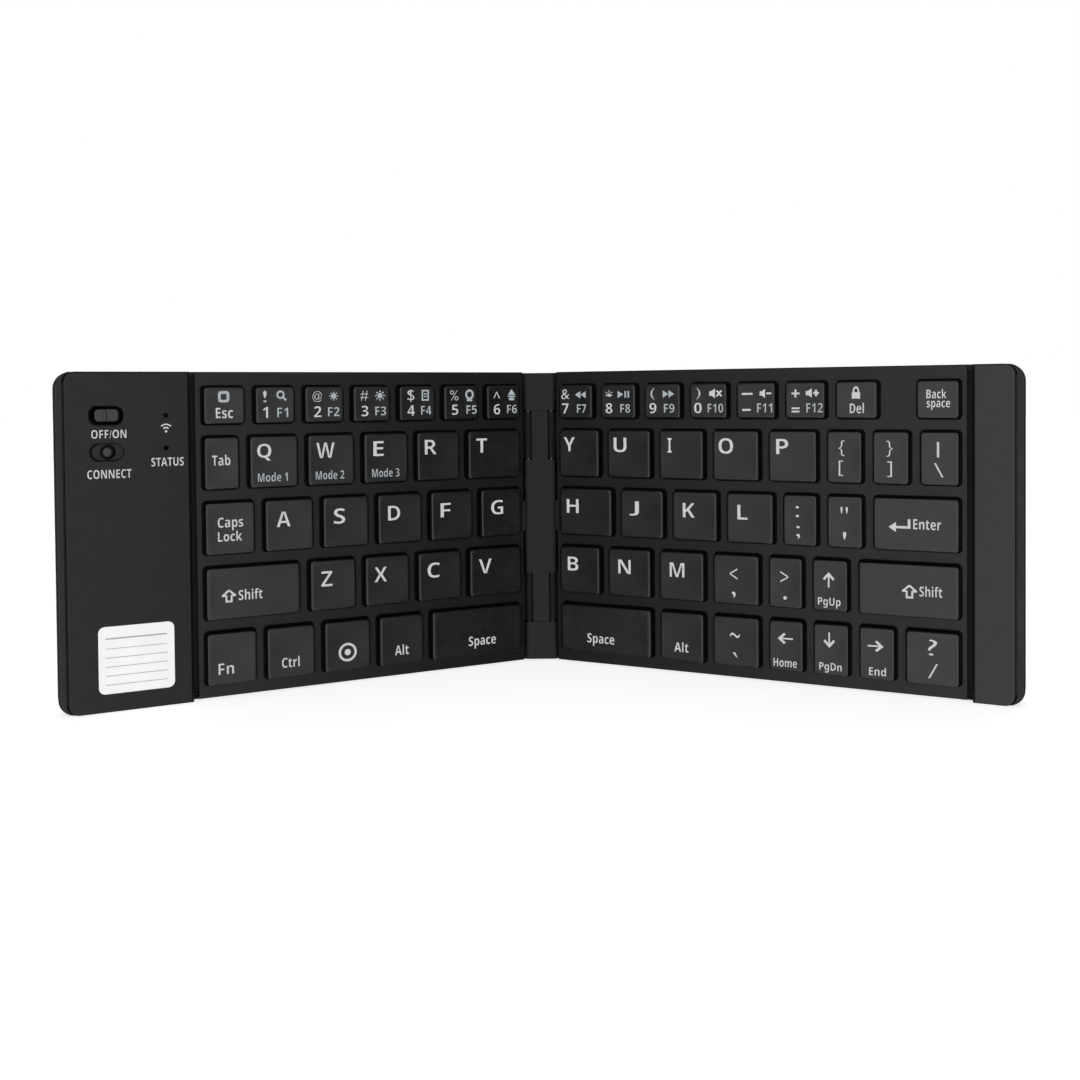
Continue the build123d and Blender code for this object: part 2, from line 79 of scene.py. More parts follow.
# What is printed on each cap: (text or icon name, u from, u to, v from, v to, ink). Icon names start with "i:".
W, C = "white", "cool"
LEGENDS = {
    "esc": [("i:home", 104.0, 107.3, 88.8, 92.2, C), ("Esc", 103.0, 108.0, 84.1, 87.2, W)],
    "1": [("!", 92.95, 94.0, 88.8, 92.2, W), ("i:search", 86.9, 90.0, 89.1, 92.3, C), ("1", 92.6, 94.1, 84.0, 87.3, W),
          ("F1", 86.5, 89.8, 84.2, 87.0, C)],
    "2": [("@", 76.0, 78.9, 88.7, 92.0, W), ("i:sun_low", 70.9, 73.6, 89.1, 91.8, C), ("2", 76.2, 78.5, 84.0, 87.3, W),
          ("F2", 70.5, 74.1, 84.2, 87.0, C)],
    "3": [("#", 61.2, 63.7, 88.9, 92.0, W), ("i:sun_high", 55.7, 58.9, 88.9, 92.1, C), ("3", 61.2, 63.4, 84.0, 87.3, W),
          ("F3", 55.4, 58.9, 84.2, 87.0, C)],
    "4": [("$", 45.9, 48.2, 88.4, 92.3, W), ("i:page", 40.8, 43.5, 88.7, 92.2, C), ("4", 45.8, 48.2, 84.0, 87.3, W),
          ("F4", 40.2, 43.6, 84.2, 87.0, C)],
    "5": [("%", 30.7, 33.6, 88.7, 92.0, W), ("i:lockring", 25.2, 28.4, 88.4, 92.3, C), ("5", 30.8, 33.0, 84.0, 87.3, W),
          ("F5", 24.3, 27.9, 84.2, 87.0, C)],
    "6": [("^", 15.9, 18.2, 89.3, 91.4, W), ("i:eject", 10.1, 13.2, 88.5, 92.3, C), ("6", 15.9, 18.1, 83.9, 87.3, W),
          ("F6", 9.8, 13.3, 84.2, 87.0, C)],
    "tab": [("Tab", 104.0, 109.3, 70.0, 73.2, W)],
    "Q": [("Q", 91.8, 96.0, 71.0, 76.1, W), ("Mode 1", 86.9, 95.9, 64.6, 67.3, C)], "W": [("W", 72.2, 77.9, 71.3, 76.0, W), ("Mode 2", 69.2, 78.2, 64.6, 67.3, C)], "E": [("E", 56.3, 59.7, 71.3, 76.0, W), ("Mode 3", 51.2, 60.2, 64.6, 67.3, C)],
    "R": [("R", 38.5, 42.5, 71.3, 76.0, W)], "T": [("T", 20.7, 24.5, 71.3, 76.0, W)],
    "caps_lock": [("Caps", 100.5, 107.9, 50.4, 54.4, W), ("Lock", 100.9, 107.9, 47.2, 50.2, W)],
    "A": [("A", 86.2, 90.4, 50.6, 55.2, W)], "S": [("S", 69.1, 72.7, 50.5, 55.3, W)], "D": [("D", 51.1, 55.1, 50.6, 55.2, W)],
    "F": [("F", 33.8, 37.3, 50.6, 55.2, W)], "G": [("G", 15.1, 19.4, 50.5, 55.3, W)],
    "left_shift": [("i:shift", 102.9, 107.0, 28.8, 33.0, W), ("Shift", 95.0, 102.1, 29.2, 32.4, W)],
    "Z": [("Z", 73.4, 76.9, 31.2, 35.9, W)], "X": [("X", 55.7, 59.8, 31.2, 35.9, W)], "C": [("C", 37.8, 42.0, 31.1, 36.0, W)],
    "V": [("V", 19.5, 24.0, 31.2, 35.9, W)],
    "fn": [("Fn", 103.8, 108.3, 7.3, 10.6, W)], "ctrl": [("Ctrl", 84.0, 89.4, 7.2, 10.4, W)],
    "system": [("i:ring", 65.9, 71.7, 7.0, 12.8, W)],
    "left_alt": [("Alt", 48.7, 53.3, 7.1, 10.4, W)],
    "left_space": [("Space", 18.2, 27.9, 6.4, 10.5, W)],
    "7": [("&", 9.5, 12.3, 88.8, 92.0, W), ("i:rewind", 14.4, 18.3, 89.0, 91.4, C), ("7", 9.7, 12.0, 84.0, 87.3, W),
          ("F7", 15.1, 18.4, 84.2, 87.0, C)],
    "8": [("*", 25.4, 27.8, 89.2, 91.6, W), ("i:playpause", 29.6, 33.7, 89.0, 91.4, C), ("8", 25.4, 27.7, 84.0, 87.3, W),
          ("F8", 30.5, 33.9, 84.2, 87.0, C)],
    "9": [("(", 41.0, 42.3, 88.4, 92.1, W), ("i:forward", 45.1, 49.0, 89.0, 91.4, C), ("9", 40.6, 42.9, 84.0, 87.3, W),
          ("F9", 45.5, 49.0, 84.2, 87.0, C)],
    "0": [(")", 56.3, 57.6, 88.4, 92.1, W), ("i:mute", 60.5, 64.6, 88.7, 91.8, W), ("0", 55.6, 58.0, 84.0, 87.3, W),
          ("F10", 60.0, 65.0, 84.2, 87.0, C)],
    "-": [("i:bar", 71.0, 74.4, 89.7, 90.3, W), ("i:voldown", 76.6, 80.3, 88.7, 91.5, W), ("i:bar", 71.1, 73.8, 84.7, 85.3, W),
          ("F11", 75.8, 80.5, 84.2, 87.0, C)],
    "=": [("i:plus", 86.5, 88.9, 88.8, 91.2, W), ("i:volup", 90.8, 94.8, 88.7, 91.5, W), ("i:equal", 86.5, 88.9, 84.2, 85.7, W),
          ("F12", 91.0, 95.9, 84.2, 87.0, C)],
    "delete": [("i:lock", 104.4, 107.0, 88.3, 92.0, W), ("Del", 103.9, 108.0, 83.9, 87.0, W)],
    "backspace": [("Back", 125.7, 131.2, 88.2, 90.9, W), ("space", 125.8, 132.2, 84.8, 87.5, W)],
    "Y": [("Y", 10.2, 14.2, 71.3, 76.0, W)], "U": [("U", 28.1, 32.5, 71.2, 76.0, W)], "I": [("I", 46.6, 48.0, 71.3, 76.0, W)],
    "O": [("O", 63.5, 68.1, 71.2, 76.1, W)], "P": [("P", 81.7, 85.4, 71.3, 76.0, W)],
    "[": [("{", 100.6, 102.3, 71.0, 75.7, W), ("[", 100.6, 101.9, 65.0, 69.6, W)],
    "]": [("}", 114.5, 116.2, 71.0, 75.7, W), ("]", 114.7, 116.0, 65.0, 69.6, W)],
    "\\": [("|", 128.6, 129.2, 71.0, 75.5, W), ("\\", 127.8, 130.4, 65.2, 69.3, W)],
    "H": [("H", 11.1, 15.4, 50.6, 55.2, W)], "J": [("J", 33.4, 36.7, 50.5, 55.2, W)], "K": [("K", 51.6, 55.5, 50.6, 55.2, W)],
    "L": [("L", 69.4, 72.6, 50.6, 55.2, W)],
    ";": [(":", 87.6, 88.6, 52.0, 55.4, W), (";", 87.8, 88.9, 45.2, 49.3, W)],
    "'": [("\"", 101.1, 103.2, 53.6, 55.6, W), ("'", 101.8, 102.7, 45.8, 48.0, W)],
    "enter": [("i:return", 115.0, 121.2, 48.7, 52.6, W), ("Enter", 122.0, 129.7, 49.7, 52.7, W)],
    "B": [("B", 11.3, 15.1, 31.2, 35.8, W)], "N": [("N", 29.4, 33.7, 31.2, 35.8, W)], "M": [("M", 47.1, 52.0, 31.2, 35.8, W)],
    "<": [("<", 66.9, 69.3, 31.6, 35.1, W), (",", 67.5, 68.7, 25.6, 27.7, W)],
    ">": [(">", 82.8, 85.2, 31.6, 35.1, W), (".", 83.7, 84.8, 26.3, 27.4, W)],
    "arrow_up": [("i:up", 95.7, 99.3, 30.9, 35.6, W), ("PgUp", 94.3, 101.0, 24.7, 27.8, W)],
    "right_shift": [("i:shift", 118.8, 123.0, 29.2, 33.6, W), ("Shift", 123.7, 130.0, 30.0, 33.1, W)],
    "right_space": [("Space", 18.2, 27.8, 6.4, 10.5, W)],
    "right_alt": [("Alt", 48.5, 53.2, 7.0, 10.2, W)],
    "~": [("~", 66.8, 70.0, 13.1, 14.7, W), ("`", 67.6, 69.2, 7.0, 8.5, W)],
    "arrow_left": [("i:left", 81.9, 86.6, 12.4, 16.0, W), ("Home", 80.6, 87.8, 5.4, 7.9, W)],
    "arrow_down": [("i:down", 95.8, 99.4, 12.5, 17.2, W), ("PgDn", 94.6, 101.3, 4.9, 7.9, W)],
    "arrow_right": [("i:right", 108.9, 113.5, 12.4, 16.0, W), ("End", 109.3, 114.2, 5.4, 7.9, W)],
    "/": [("?", 126.0, 128.6, 12.8, 17.5, W), ("/", 126.1, 128.8, 6.1, 10.4, W)],
}
PANEL_LEGENDS = [("OFF/ON", 133.1, 142.5, 78.9, 81.3, W),
                 ("CONNECT", 131.9, 143.7, 67.4, 69.9, W), ("STATUS", 117.4, 126.4, 70.4, 72.9, W),
                 ("i:waves", 120.8, 123.6, 80.2, 83.2, W)]
# ruled lines on the label: (u from, u to, v from, v to)
LABEL_TOP = 7.32
LABEL_RULES = [(122.8, 139.6, 21.1, 21.5)] + [(122.8, 139.6, v, v + 0.2) for v in (18.3, 15.7, 13.1, 10.5, 7.9)]


def leaf_matrix(s):
    turn = (Matrix.Translation((s * PIVOT_U, -PIVOT_N, 0)) @ Matrix.Rotation(-s * FOLD, 4, "Z")
            @ Matrix.Translation((-s * PIVOT_U, PIVOT_N, 0)))
    return Matrix.Scale(0.001, 4) @ Matrix.Translation((0, Y_CENTRE, 0)) @ turn @ Matrix.Rotation(math.pi / 2, 4, "X")


# ------------------------------------------------------------------ materials
class Tree:
    """Short hand for building a node tree."""

    def __init__(self, name):
        self.mat = bpy.data.materials.new(name)
        self.mat.use_nodes = True
        self.nt = self.mat.node_tree
        self.bsdf = self.nt.nodes["Principled BSDF"]
        self.obj = self.nt.nodes.new("ShaderNodeTexCoord").outputs["Object"]

    def node(self, kind, **inputs):
        n = self.nt.nodes.new(kind)
        for k, v in inputs.items():
            k = k.replace("_", " ")
            if hasattr(v, "is_output"):
                self.nt.links.new(v, n.inputs[k])
            else:
                n.inputs[k].default_value = v
        return n

    def noise(self, scale, detail=3.0, rough=0.55, stretch=None):
        vec = self.obj
        if stretch:
            m = self.nt.nodes.new("ShaderNodeMapping")
            m.inputs["Scale"].default_value = stretch
            self.nt.links.new(vec, m.inputs["Vector"])
            vec = m.outputs["Vector"]
        n = self.nt.nodes.new("ShaderNodeTexNoise")
        n.inputs["Scale"].default_value = scale
        n.inputs["Detail"].default_value = detail
        n.inputs["Roughness"].default_value = rough
        self.nt.links.new(vec, n.inputs["Vector"])
        return n.outputs["Fac"]

    def spread(self, value, a, b, lo=0.3, hi=0.7):
        """value from lo..hi to a..b."""
        m = self.nt.nodes.new("ShaderNodeMapRange")
        m.inputs["From Min"].default_value, m.inputs["From Max"].default_value = lo, hi
        m.inputs["To Min"].default_value, m.inputs["To Max"].default_value = a, b
        self.nt.links.new(value, m.inputs["Value"])
        return m.outputs["Result"]

    def math(self, op, a, b):
        m = self.nt.nodes.new("ShaderNodeMath")
        m.operation = op
        for i, v in enumerate((a, b)):
            if hasattr(v, "is_output"):
                self.nt.links.new(v, m.inputs[i])
            else:
                m.inputs[i].default_value = v
        return m.outputs["Value"]

    def blend(self, fac, a, b):
        m = self.nt.nodes.new("ShaderNodeMix")
        m.data_type = "RGBA"
        for sock, v in ((m.inputs["Factor"], fac), (m.inputs["A"], None), (m.inputs["B"], None)):
            if v is not None:
                if hasattr(v, "is_output"):
                    self.nt.links.new(v, sock)
                else:
                    sock.default_value = v
        for key, v in (("A", a), ("B", b)):
            sock = [i for i in m.inputs if i.name == key and i.type == "RGBA"][0]
            if hasattr(v, "is_output"):
                self.nt.links.new(v, sock)
            else:
                sock.default_value = (*v, 1.0)
        return [o for o in m.outputs if o.type == "RGBA"][0]

    def bump(self, height, strength, distance, normal=None):
        b = self.nt.nodes.new("ShaderNodeBump")
        b.inputs["Strength"].default_value = strength
        b.inputs["Distance"].default_value = distance
        self.nt.links.new(height, b.inputs["Height"])
        if normal is not None:
            self.nt.links.new(normal, b.inputs["Normal"])
        self.nt.links.new(b.outputs["Normal"], self.bsdf.inputs["Normal"])

    def link(self, out, name):
        self.nt.links.new(out, self.bsdf.inputs[name])


def shade(rgb, k):
    return tuple(min(1.0, c * k) for c in rgb)


def plastic(name, rgb, rough, spec=0.35, grain=0.00022, depth=0.000010, soft_edge=0.0, worn=0.0, attr=None):
    """Moulded plastic: fine spark-eroded grain, faint tone drift, slightly polished and paler along its edges."""
    t = Tree(name)
    drift = t.noise(38.0, 2.0)
    flow = t.noise(240.0, 4.0, 0.6)
    fine = t.noise(1.0 / grain, 2.0, 0.65)
    speck = t.noise(0.6 / grain, 1.0, 0.5)
    col = t.blend(t.spread(drift, 0.0, 1.0), shade(rgb, 0.9), shade(rgb, 1.1))
    col = t.blend(t.spread(flow, 0.0, 0.35), col, shade(rgb, 1.3))
    col = t.blend(t.spread(fine, 0.0, 0.3, 0.5, 0.8), col, shade(rgb, 1.6))
    rgh = t.math("ADD", t.spread(flow, rough - 0.035, rough + 0.035), t.spread(speck, -0.03, 0.03))
    edge = None
    if attr:
        a = t.nt.nodes.new("ShaderNodeAttribute")
        a.attribute_name = attr
        edge = a.outputs["Fac"]
    elif worn:
        bev = t.nt.nodes.new("ShaderNodeBevel")
        bev.samples = 4
        bev.inputs["Radius"].default_value = 0.00035
        geo = t.nt.nodes.new("ShaderNodeNewGeometry")
        dot = t.nt.nodes.new("ShaderNodeVectorMath")
        dot.operation = "DOT_PRODUCT"
        t.nt.links.new(bev.outputs["Normal"], dot.inputs[0])
        t.nt.links.new(geo.outputs["Normal"], dot.inputs[1])
        edge = t.spread(dot.outputs["Value"], 1.0, 0.0, 0.90, 0.995)
    if edge is not None:
        patch = t.math("MULTIPLY", edge, t.spread(t.noise(420.0, 3.0), 0.35, 1.0))
        col = t.blend(t.math("MULTIPLY", patch, worn), col, shade(rgb, 2.4))
        rgh = t.math("SUBTRACT", rgh, t.math("MULTIPLY", patch, 0.12))
    t.link(col, "Base Color")
    t.link(rgh, "Roughness")
    t.bsdf.inputs["Specular IOR Level"].default_value = spec
    normal = None
    if soft_edge:
        b2 = t.nt.nodes.new("ShaderNodeBevel")
        b2.samples = 4
        b2.inputs["Radius"].default_value = soft_edge
        normal = b2.outputs["Normal"]
    height = t.math("ADD", fine, t.math("MULTIPLY", speck, 0.6))
    t.bump(height, 0.55, depth, normal)
    return t.mat


def ink(name, rgb):
    """Printed legend: slightly uneven, matt paint."""
    t = Tree(name)
    a = t.noise(900.0, 3.0)
    b = t.noise(5200.0, 2.0)
    col = t.blend(t.spread(a, 0.0, 1.0), shade(rgb, 0.86), rgb)
    col = t.blend(t.spread(b, 0.0, 0.25, 0.5, 0.75), col, shade(rgb, 0.7))
    t.link(col, "Base Color")
    t.link(t.spread(b, 0.45, 0.65), "Roughness")
    t.bsdf.inputs["Specular IOR Level"].default_value = 0.3
    t.bump(b, 0.3, 0.000006)
    return t.mat


def metal(name, rgb, rough, brushed=None, scale=3000.0):
    """Bare metal: fine scratches along one way, tarnish in slow patches."""
    t = Tree(name)
    lines = t.noise(scale, 2.0, 0.6, brushed or (1, 1, 1))
    patch = t.noise(160.0, 3.0)
    col = t.blend(t.spread(patch, 0.0, 1.0), shade(rgb, 0.78), rgb)
    col = t.blend(t.spread(lines, 0.0, 0.4), col, shade(rgb, 0.62))
    t.link(col, "Base Color")
    t.link(t.math("ADD", t.spread(lines, rough - 0.08, rough + 0.1), t.spread(patch, -0.04, 0.06)), "Roughness")
    t.bsdf.inputs["Metallic"].default_value = 1.0
    t.bump(lines, 0.35, 0.000008)
    return t.mat


def rubber(name, rgb, rough=0.85):
    t = Tree(name)
    a, b = t.noise(1500.0, 4.0, 0.7), t.noise(90.0, 2.0)
    col = t.blend(t.spread(b, 0.0, 1.0), shade(rgb, 0.8), shade(rgb, 1.15))
    col = t.blend(t.spread(a, 0.0, 0.4, 0.5, 0.8), col, shade(rgb, 2.0))
    t.link(col, "Base Color")
    t.link(t.spread(a, rough - 0.08, rough + 0.08), "Roughness")
    t.bsdf.inputs["Specular IOR Level"].default_value = 0.25
    t.bump(a, 0.6, 0.00003)
    return t.mat


def sheet_stuff(name, rgb, rough, fibre=2600.0, streak=(1, 1, 1), strength=0.3):
    """Film, laminate, paper: slow tone drift and fine fibres."""
    t = Tree(name)
    a, b = t.noise(fibre, 4.0, 0.6, streak), t.noise(70.0, 2.0)
    col = t.blend(t.spread(b, 0.0, 1.0), shade(rgb, 0.93), rgb)
    col = t.blend(t.spread(a, 0.0, 0.3, 0.45, 0.8), col, shade(rgb, 0.82))
    t.link(col, "Base Color")
    t.link(t.spread(a, rough - 0.06, rough + 0.06), "Roughness")
    t.bump(a, strength, 0.000012)
    return t.mat


BLACK = (0.0125, 0.0125, 0.0128)
MATS = {
    "cap": plastic("keycap_plastic", (0.0023, 0.0023, 0.0024), 0.27, 0.42, 0.00018, 0.000006, worn=0.10, attr="edge"),
    "deck": plastic("deck_plastic", (0.0024, 0.0024, 0.0025), 0.34, 0.27, 0.00026, 0.000012, soft_edge=0.00018, worn=0.30),
    "case": plastic("case_plastic", (0.0036, 0.0036, 0.0038), 0.46, 0.31, 0.00030, 0.000016, soft_edge=0.0002, worn=0.30),
    "panel": plastic("panel_plastic", (0.0030, 0.0030, 0.0030), 0.32, 0.235, 0.00026, 0.000012, soft_edge=0.0002, worn=0.20),
    "end_panel": plastic("end_panel_plastic", (0.0032, 0.0032, 0.0032), 0.32, 0.37, 0.00026, 0.000012, soft_edge=0.0002, worn=0.20),
    "spine": plastic("spine_plastic", (0.0036, 0.0036, 0.0038), 0.55, 0.20, 0.00030, 0.000010, soft_edge=0.0002, worn=0.30),
    "control": plastic("control_plastic", (0.0060, 0.0060, 0.0062), 0.34, 0.50, 0.00020, 0.000006, soft_edge=0.00015, worn=0.2),
    "hinge": plastic("hinge_coating", (0.0030, 0.0030, 0.0031), 0.60, 0.14, 0.00030, 0.000010, soft_edge=0.00015, worn=0.15),
    "inner": plastic("inner_plastic", (0.010, 0.010, 0.010), 0.6, 0.3, 0.00026, 0.00001),
    "plate": metal("plate_metal", (0.36, 0.37, 0.38), 0.42, (1, 1, 24), 900.0),
    "steel": metal("hinge_steel", (0.20, 0.20, 0.21), 0.38, (30, 30, 1), 900.0),
    "screw": metal("screw_steel", (0.11, 0.11, 0.115), 0.42, (1, 1, 1), 5200.0),
    "socket": metal("socket_metal", (0.60, 0.60, 0.61), 0.28, (1, 1, 12), 2200.0),
    "foot": rubber("foot_rubber", (0.018, 0.018, 0.018)),
    "dome": rubber("dome_rubber", (0.05, 0.05, 0.052), 0.7),
    "film": plastic("film_plastic", (0.016, 0.016, 0.0165), 0.75, 0.14, 0.0003, 0.000002),
    "ribbon": sheet_stuff("ribbon_film", (0.010, 0.009, 0.008), 0.5, 1200.0, (1, 1, 20)),
    "board": plastic("board_lacquer", (0.0022, 0.0026, 0.0024), 0.75, 0.05, 0.0003, 0.000002),
    "cell": sheet_stuff("cell_pouch", (0.45, 0.46, 0.47), 0.35, 600.0),
    "label": sheet_stuff("label_paper", (0.945, 0.947, 0.95), 0.5, 3200.0, (1, 1, 1), 0.2),
    "lens": plastic("lens_plastic", (0.0020, 0.0020, 0.0022), 0.6, 0.08, 0.0003, 0.000002),
    "white": ink("legend_white", (0.62, 0.63, 0.64)),
    "cool": ink("legend_cool", (0.42, 0.47, 0.495)),
    "rule": ink("label_rule", (0.40, 0.40, 0.41)),
}
NODE_MATS = {
    "spine_back_shell": "spine", "spine_front_cover": "spine", "spine_end_blocks": "spine", "hinge_pins": "steel",
    "flex_ribbon": "ribbon", "left_hinge_leaves": "hinge", "right_hinge_leaves": "hinge",
    "left_lower_case": "case", "right_lower_case": "case", "left_key_deck": "deck", "right_key_deck": "deck",
    "left_control_bezel": "panel", "right_end_bezel": "end_panel", "left_base_plate": "plate", "right_base_plate": "plate",
    "left_membrane": "film", "right_membrane": "film", "left_rubber_domes": "dome", "right_rubber_domes": "dome",
    "left_scissor_links": "inner", "right_scissor_links": "inner", "control_board": "board", "battery_cell": "cell",
    "charging_socket": "socket", "indicator_lenses": "lens", "blank_label": "label", "left_feet": "foot",
    "right_feet": "foot", "left_screws": "screw", "right_screws": "screw", "power_slider": "control",
    "connect_button": "control",
}
for node, obj in CAD.items():
    mat = MATS[NODE_MATS.get(node, "cap")]
    for i in range(len(obj.material_slots)):
        obj.material_slots[i].material = mat
    if not obj.material_slots:
        obj.data.materials.append(mat)


# ------------------------------------------------------------------ caps
EDGE_R = 0.55
DISH = 0.10


def ring_points(x0, x1, y0, y1, r, seg=4):
    """Rounded rectangle, anticlockwise, with extra points along the straight sides."""
    nx = max(2, round((x1 - x0) / 2.8))
    ny = max(2, round((y1 - y0) / 2.8))
    pts = []
    corners = ((x1 - r, y1 - r, 0, nx), (x0 + r, y1 - r, 90, ny), (x0 + r, y0 + r, 180, nx), (x1 - r, y0 + r, 270, ny))
    for i, (cx, cy, a0, n) in enumerate(corners):
        arc = [(cx + r * math.cos(math.radians(a0 + 90 * k / seg)), cy + r * math.sin(math.radians(a0 + 90 * k / seg)))
               for k in range(seg + 1)]
        pts += arc
        ncx, ncy, na, _ = corners[(i + 1) % 4]
        nxt = (ncx + r * math.cos(math.radians(na)), ncy + r * math.sin(math.radians(na)))
        for k in range(1, n):
            t = k / n
            pts.append((arc[-1][0] + (nxt[0] - arc[-1][0]) * t, arc[-1][1] + (nxt[1] - arc[-1][1]) * t))
    return pts


class Cap:
    """One key cap in its leaf's flat frame."""

    def __init__(self, s, u0, u1, v0, v1):
        self.s = s
        self.x0, self.x1 = sorted((s * u0, s * u1))
        self.y0, self.y1 = v0, v1
        self.cx, self.cy = (self.x0 + self.x1) / 2, (v0 + v1) / 2
        self.hx, self.hy = (self.x1 - self.x0) / 2 - EDGE_R, (v1 - v0) / 2 - EDGE_R
        self.power = 2 if self.hx < 11 else 6

    def top(self, x, y):
        """Height of the dished top."""
        a = max(0.0, 1 - abs((x - self.cx) / self.hx) ** self.power)
        b = max(0.0, 1 - abs((y - self.cy) / self.hy) ** 2)
        return CAP_TOP - DISH * a * b

    def build(self, bm, edge):
        def ring(d, z, e=0.0):
            r = max(1.1 - d, 0.3)
            out = []
            for x, y in ring_points(self.x0 + d, self.x1 - d, self.y0 + d, self.y1 - d, r):
                v = bm.verts.new((x, y, z))
                v[edge] = e
                out.append(v)
            return out

        rings = [ring(0.95, CAP_TOP - 1.0), ring(0.9, CAP_SKIRT + 0.08), ring(0.82, CAP_SKIRT), ring(0.08, CAP_SKIRT),
                 ring(0.0, CAP_SKIRT + 0.08), ring(0.03, CAP_TOP - EDGE_R - 0.9), ring(0.05, CAP_TOP - EDGE_R, 0.1)]
        steps = 6
        for k in range(1, steps + 1):
            a = math.pi / 2 * k / steps
            e = math.sin(2 * a) * 0.9 + 0.1
            rings.append(ring(0.05 + EDGE_R * (1 - math.cos(a)), CAP_TOP - EDGE_R + EDGE_R * math.sin(a), e if k < steps else 0.15))
        base = rings[-1]
        for t in (0.06, 0.16, 0.3, 0.47, 0.66, 0.86):
            new = []
            for v in base:
                x, y = self.cx + (v.co.x - self.cx) * (1 - t), self.cy + (v.co.y - self.cy) * (1 - t)
                w = bm.verts.new((x, y, self.top(x, y)))
                w[edge] = 0.0
                new.append(w)
            rings.append(new)
        n = len(rings[0])
        for a, b in zip(rings, rings[1:]):
            for i in range(n):
                j = (i + 1) % n
                bm.faces.new((a[i], a[j], b[j], b[i]))
        bm.faces.new(rings[-1])
        bm.faces.new(list(reversed(rings[0])))
        # post under the roof that rests on the dome
        lower, upper = [], []
        for k in range(20):
            a = 2 * math.pi * k / 20
            for z, lst in ((5.4, lower), (CAP_TOP - 0.9, upper)):
                v = bm.verts.new((self.cx + 1.6 * math.cos(a), self.cy + 1.6 * math.sin(a), z))
                v[edge] = 0.0
                lst.append(v)
        for i in range(20):
            j = (i + 1) % 20
            bm.faces.new((lower[i], lower[j], upper[j], upper[i]))
        bm.faces.new(upper)
        bm.faces.new(list(reversed(lower)))


def key_list(s):
    out = []
    for row, items in (LEFT_KEYS if s < 0 else RIGHT_KEYS).items():
        inner = FIRST_U
        for outer, name in items:
            out.append((name, inner, outer, *ROWS[row]))
            inner = outer + KEY_GAP
    if s > 0:
        out.append(("backspace", 122.8, 134.75, *ROWS[1]))
    return out


CAPS = {name: Cap(s, u0, u1, v0, v1) for s in (-1, 1) for name, u0, u1, v0, v1 in key_list(s)}


# ------------------------------------------------------------------ legends
def sans(text):
    """The same letters and digits in the built-in font's bold sans-serif range."""
    out = ""
    for c in text:
        if "A" <= c <= "Z":
            out += chr(0x1D5D4 + ord(c) - 65)
        elif "a" <= c <= "z":
            out += chr(0x1D5EE + ord(c) - 97)
        elif "0" <= c <= "9":
            out += chr(0x1D7EC + ord(c) - 48)
        else:
            out += c
    return out


def text_shapes(bodies, weight):
    """{text: (vertices, faces)}, closed and 2 units thick in z. One text object holds them all, a line each."""
    cu = bpy.data.curves.new("glyphs", "FONT")
    cu.body = "\n".join(sans(b) for b in bodies)
    cu.size = 1.0
    cu.offset = weight
    cu.extrude = 1.0
    cu.resolution_u = 5
    cu.space_character = 1.02
    cu.space_line = 4.0
    ob = bpy.data.objects.new("glyphs", cu)
    me = bpy.data.meshes.new_from_object(ob)
    top = max(v.co.y for v in me.vertices)
    step = 4.0
    out = {b: ([], []) for b in bodies}
    seen = {}
    line = [min(len(bodies) - 1, max(0, round((0.35 - v.co.y) / step))) for v in me.vertices]
    for v in me.vertices:
        verts = out[bodies[line[v.index]]][0]
        seen[v.index] = len(verts)
        verts.append(tuple(v.co))
    for p in me.polygons:
        out[bodies[line[p.vertices[0]]]][1].append(tuple(seen[i] for i in p.vertices))
    bpy.data.objects.remove(ob)
    bpy.data.meshes.remove(me)
    bpy.data.curves.remove(cu)
    return out


def disc(cx, cy, r, n=28, sx=1.0, sy=1.0):
    return [(cx + r * sx * math.cos(2 * math.pi * k / n), cy + r * sy * math.sin(2 * math.pi * k / n)) for k in range(n)]


def box2(x0, x1, y0, y1):
    return [(x0, y0), (x1, y0), (x1, y1), (x0, y1)]


def stroke(x0, y0, x1, y1, w):
    dx, dy = x1 - x0, y1 - y0
    k = w / 2 / math.hypot(dx, dy)
    return [(x0 + dy * k, y0 - dx * k), (x1 + dy * k, y1 - dx * k), (x1 - dy * k, y1 + dx * k), (x0 - dy * k, y0 + dx * k)]


def frame2(outer, inner):
    """Ring between two closed outlines with the same number of points, as quads."""
    n = len(outer)
    return [[outer[i], outer[(i + 1) % n], inner[(i + 1) % n], inner[i]] for i in range(n)]


def speaker():
    return [[(0.0, 0.27), (0.18, 0.27), (0.46, 0.0), (0.46, 1.0), (0.18, 0.73), (0.0, 0.73)]]


